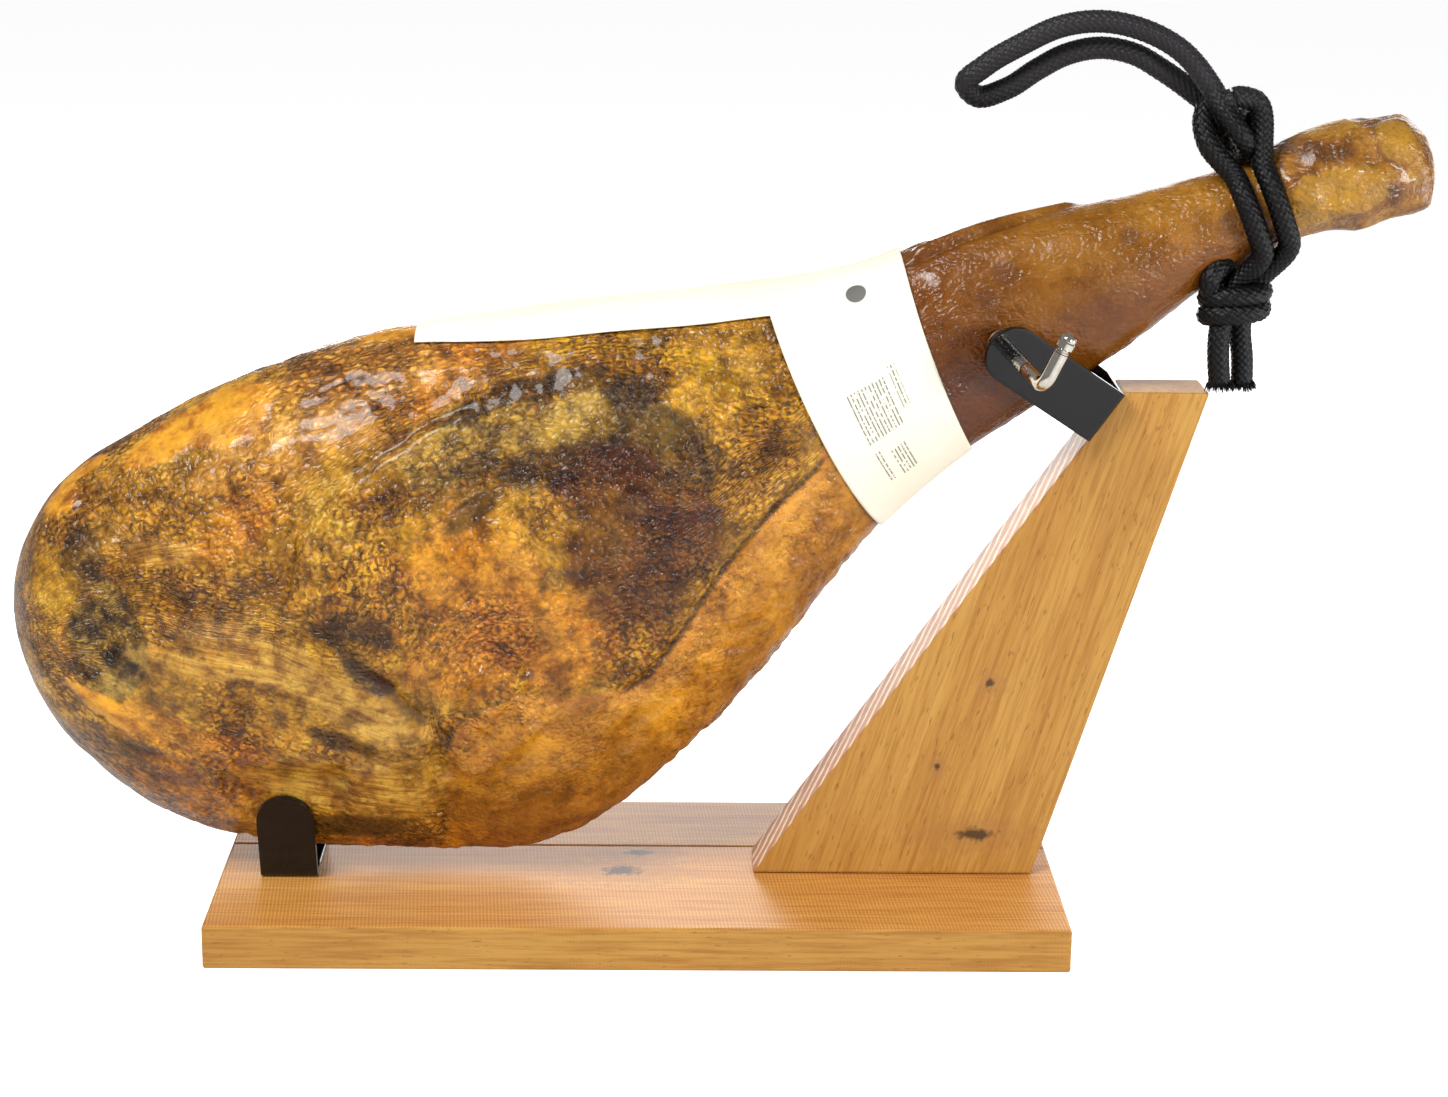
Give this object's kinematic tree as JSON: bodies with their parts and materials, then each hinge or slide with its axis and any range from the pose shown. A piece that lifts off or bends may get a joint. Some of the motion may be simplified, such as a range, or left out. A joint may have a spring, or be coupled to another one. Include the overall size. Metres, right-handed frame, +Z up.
{
  "type": "whole cured ham in a wooden ham stand",
  "caption": "Whole bone-in cured ham clamped by the shank in a wooden stand, with a paper sleeve and a knotted black carrying cord.",
  "frame": {"origin": "centre of the base's underside", "axes": "+X along the base from the hip end to the shank end, -Y the side that the clamp's screw and the meat side face, +Z up"},
  "size_m": [0.6578, 0.17, 0.4332],
  "materials": {
    "cured_ham": "oily cured rind and dried meat",
    "paper": "smooth coated paper",
    "beech": "oiled",
    "black_steel": "semi-gloss black paint",
    "nickel": "bright nickel plate",
    "cord": "braided black cord"
  },
  "bodies": {
    "stand": {"ham": "cured_ham", "paper_sleeve": "paper", "base_plank_front": "beech", "base_plank_back": "beech", "post": "beech", "cradle": "black_steel", "cradle_screw_1": "nickel", "cradle_screw_2": "nickel", "clamp": "black_steel", "clamp_screw_1": "nickel", "clamp_screw_2": "nickel", "cord_loop": "cord", "cord_knot_upper": "cord", "cord_strand_left": "cord", "cord_strand_right": "cord", "cord_strand_back": "cord", "cord_knot_lower": "cord", "cord_end_left": "cord", "cord_end_right": "cord"},
    "pad": {"clamp_pad": "nickel"},
    "screw": {"clamp_screw": "nickel", "clamp_knob": "nickel"}
  },
  "joints": [
    {"name": "pad_travel", "type": "slide", "parent": "stand", "child": "pad", "axis": [0.2525, -0.9511, -0.1781], "range_m": [0, 0.0051]},
    {"name": "screw_turn", "type": "hinge", "parent": "pad", "child": "screw", "pos_m": [0.16745, -0.0427, 0.2817], "axis": [0.2525, -0.9511, -0.1781], "range_deg": [0, 1440]}
  ],
  "couplings": [
    {"joint": "pad_travel", "follows": "screw_turn", "m_per_rad": 0.000199}
  ]
}
